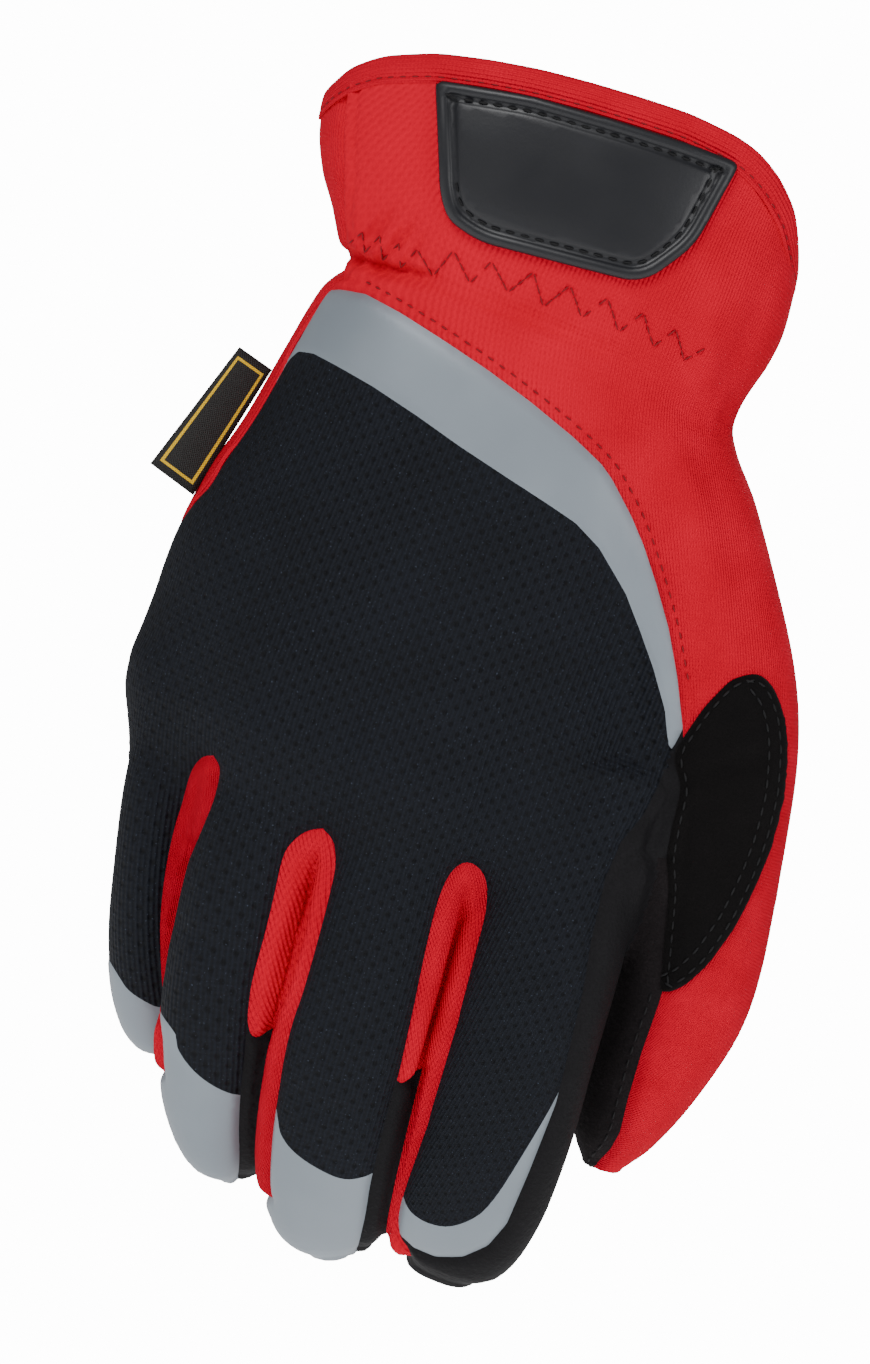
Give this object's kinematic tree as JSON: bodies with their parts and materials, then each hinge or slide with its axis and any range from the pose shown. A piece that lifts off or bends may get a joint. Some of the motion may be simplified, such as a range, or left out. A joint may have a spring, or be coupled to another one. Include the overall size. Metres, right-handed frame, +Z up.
{
  "type": "mechanic glove",
  "caption": "Slip-on mechanic's work glove with a stretch-knit gauntlet cuff, mesh back, leather palm and raised rubber cuff badge, filled out as worn and hanging fingers down.",
  "frame": {"origin": "middle of the cuff's opening, level with the ends of its arched edge", "axes": "+X towards the thumb, +Y towards the palm, +Z up out of the cuff; the fingers hang down along -Z"},
  "size_m": [0.147, 0.0711, 0.2341],
  "materials": {
    "knit": "matt ribbed stretch knit",
    "mesh": "matt dimpled mesh",
    "film": "satin reflective film",
    "leather": "matt synthetic leather",
    "suede": "matt suede",
    "napped": "brushed suede",
    "rubber": "satin moulded rubber",
    "ribbon": "woven ribbon"
  },
  "bodies": {
    "root": {"gauntlet_back": "knit", "gauntlet_palm": "knit", "cuff_hem": "knit", "fourchette_index": "knit", "fourchette_middle": "knit", "fourchette_ring": "knit", "back_panel": "mesh", "reflective_yoke": "film", "tip_film_index": "film", "tip_film_middle": "film", "tip_film_ring": "film", "tip_film_little": "film", "palm_panel": "leather", "saddle_patch": "suede", "thumb_palm": "napped", "cuff_badge": "rubber", "side_label": "ribbon"}
  },
  "joints": []
}
